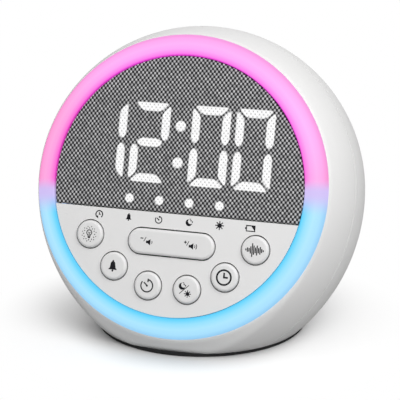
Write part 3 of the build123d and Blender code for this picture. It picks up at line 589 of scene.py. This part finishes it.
def battery():
    symbol = Symbol()
    for side in (-1, 1):
        symbol.bar(-1.0, side * 0.56, 1.0, side * 0.56, 0.2)
        symbol.bar(side * 0.9, -0.56, side * 0.9, 0.56, 0.2)
    symbol.shape([(0.1, 0.5), (0.9, 0.5), (0.9, -0.5)])
    symbol.bar(-1.1, -0.2, -1.1, 0.2, 0.2)
    return symbol


PANEL_ROW = ((time_shift, 1.55), (bell, 1.4), (timer, 1.45), (moon, 1.4), (sun, 1.65), (battery, 1.75))
BUTTON_SYMBOLS = (
    ("light", bulb, 2.75), ("alarm", bell, 2.1), ("timer", thin_timer, 2.65),
    ("sleep_wake", moon_and_sun, 2.5), ("clock", clock, 3.1), ("sound", sound, 2.45),
)
for i, (make, size) in enumerate(PANEL_ROW):
    x = (i - (len(PANEL_ROW) - 1) / 2) * SYMBOL_PITCH + SYMBOL_SHIFT
    make().put(f"{make.__name__}_symbol", x, -SYMBOL_DROP, PANEL_FRONT, size, "housing")
for name, make, size in BUTTON_SYMBOLS:
    x, v = middle(f"{name}_button")
    make().put(f"{name}_button_symbol", x, v, BUTTON_FRONT, size, f"{name}_button")
rocker_rise = middle("volume_rocker")[1] - VOLUME_DROP
quieter().put("quieter_symbol", -VOLUME_X, rocker_rise, ROCKER_FRONT, 1, "volume_rocker")
louder().put("louder_symbol", VOLUME_X, rocker_rise, ROCKER_FRONT, 1, "volume_rocker")

# Floor and surroundings: white to the camera, and duller in what they throw back onto the object. The floor's
# colour holds a painted contact shadow just ahead of the foot; the floor also takes real shadows round the object
# and turns to plain white further out.
# Sizes and places from here on are in metres.
FLOOR_REACH, SHADOW_NEAR, SHADOW_FAR = 6.0, 0.04, 0.088
# Middle, inner and outer reach, and grey of the painted contact shadow on the floor
CONTACT_MIDDLE, CONTACT_NEAR, CONTACT_FAR = (0, -0.014, 0), 0.018, 0.048
FLOOR_WHITE, FLOOR_DULL, PAINTED_CONTACT_SHADE = (0.97, 0.97, 0.97), (0.4, 0.4, 0.4), (0.4, 0.4, 0.4)
SURROUND_DULL = 0.45
scene = bpy.context.scene


def floor_material():
    mat, tree, bsdf = material("pale floor")
    seen = camera_rays(tree)
    far_out = smooth(tree, distance_from(tree, (0, 0, 0)), SHADOW_NEAR, SHADOW_FAR)
    plain = maths(tree, "MULTIPLY", seen, far_out)
    # Painted contact shadow: the floor's colour greys towards a spot just ahead of the foot
    past_foot = smooth(tree, distance_from(tree, CONTACT_MIDDLE), CONTACT_NEAR, CONTACT_FAR)
    shaded = blend(tree, seen, FLOOR_DULL, blend(tree, past_foot, PAINTED_CONTACT_SHADE, FLOOR_WHITE))
    tree.links.new(blend(tree, plain, shaded, (0.0, 0.0, 0.0)), bsdf.inputs["Base Color"])
    tree.links.new(plain, bsdf.inputs["Emission Strength"])
    bsdf.inputs["Emission Color"].default_value = (1, 1, 1, 1)
    bsdf.inputs["Roughness"].default_value = 0.9
    bsdf.inputs["Specular IOR Level"].default_value = 0.0
    return mat


def build_floor():
    corners = [(i * FLOOR_REACH, j * FLOOR_REACH, 0) for i, j in ((-1, -1), (1, -1), (1, 1), (-1, 1))]
    mesh = bpy.data.meshes.new("floor")
    mesh.from_pydata(corners, [], [(0, 1, 2, 3)])
    mesh.materials.append(floor_material())
    floor = bpy.data.objects.new("floor", mesh)
    scene.collection.objects.link(floor)


def build_surroundings():
    world = bpy.data.worlds.new("studio")
    scene.world = world
    world.use_nodes = True
    tree = world.node_tree
    background = next(n for n in tree.nodes if n.type == "BACKGROUND")
    background.inputs["Color"].default_value = (1, 1, 1, 1)
    added = maths(tree, "MULTIPLY", camera_rays(tree), 1 - SURROUND_DULL)
    tree.links.new(maths(tree, "ADD", added, SURROUND_DULL), background.inputs["Strength"])


def lamp(name, way, distance, power, size):
    """A square soft box that looks at the object's middle from a direction."""
    data = bpy.data.lights.new(name, "AREA")
    data.energy = power
    data.size = size
    light = bpy.data.objects.new(name, data)
    scene.collection.objects.link(light)
    way = Vector(way).normalized()
    light.location = CENTRE + way * distance
    light.rotation_euler = (-way).to_track_quat("-Z", "Y").to_euler()


def build_camera():
    side = Vector((math.cos(LOOK_ASIDE), math.sin(LOOK_ASIDE), 0))
    level = Vector((math.sin(LOOK_ASIDE), -math.cos(LOOK_ASIDE), 0))
    back = level * math.cos(LOOK_DOWN) + Vector((0, 0, math.sin(LOOK_DOWN)))
    camera = bpy.data.objects.new("camera", bpy.data.cameras.new("camera"))
    scene.collection.objects.link(camera)
    camera.data.lens = LENS
    camera.data.sensor_width = SENSOR
    camera.location = CENTRE + back * DISTANCE
    aim = CENTRE - side * AIM_LEFT - back.cross(side) * AIM_LOW
    camera.rotation_mode = "QUATERNION"
    camera.rotation_quaternion = (aim - camera.location).to_track_quat("-Z", "Y")
    scene.camera = camera


build_floor()
build_surroundings()
lamp("key", (0.66, -0.6, 0.76), 0.62, 3.4, 0.5)
lamp("fill", (-0.6, -0.7, 0.6), 0.7, 1.0, 0.7)
lamp("back", (-0.3, 1.0, 0.1), 0.8, 0.6, 0.7)
build_camera()
scene.view_settings.view_transform = "Standard"
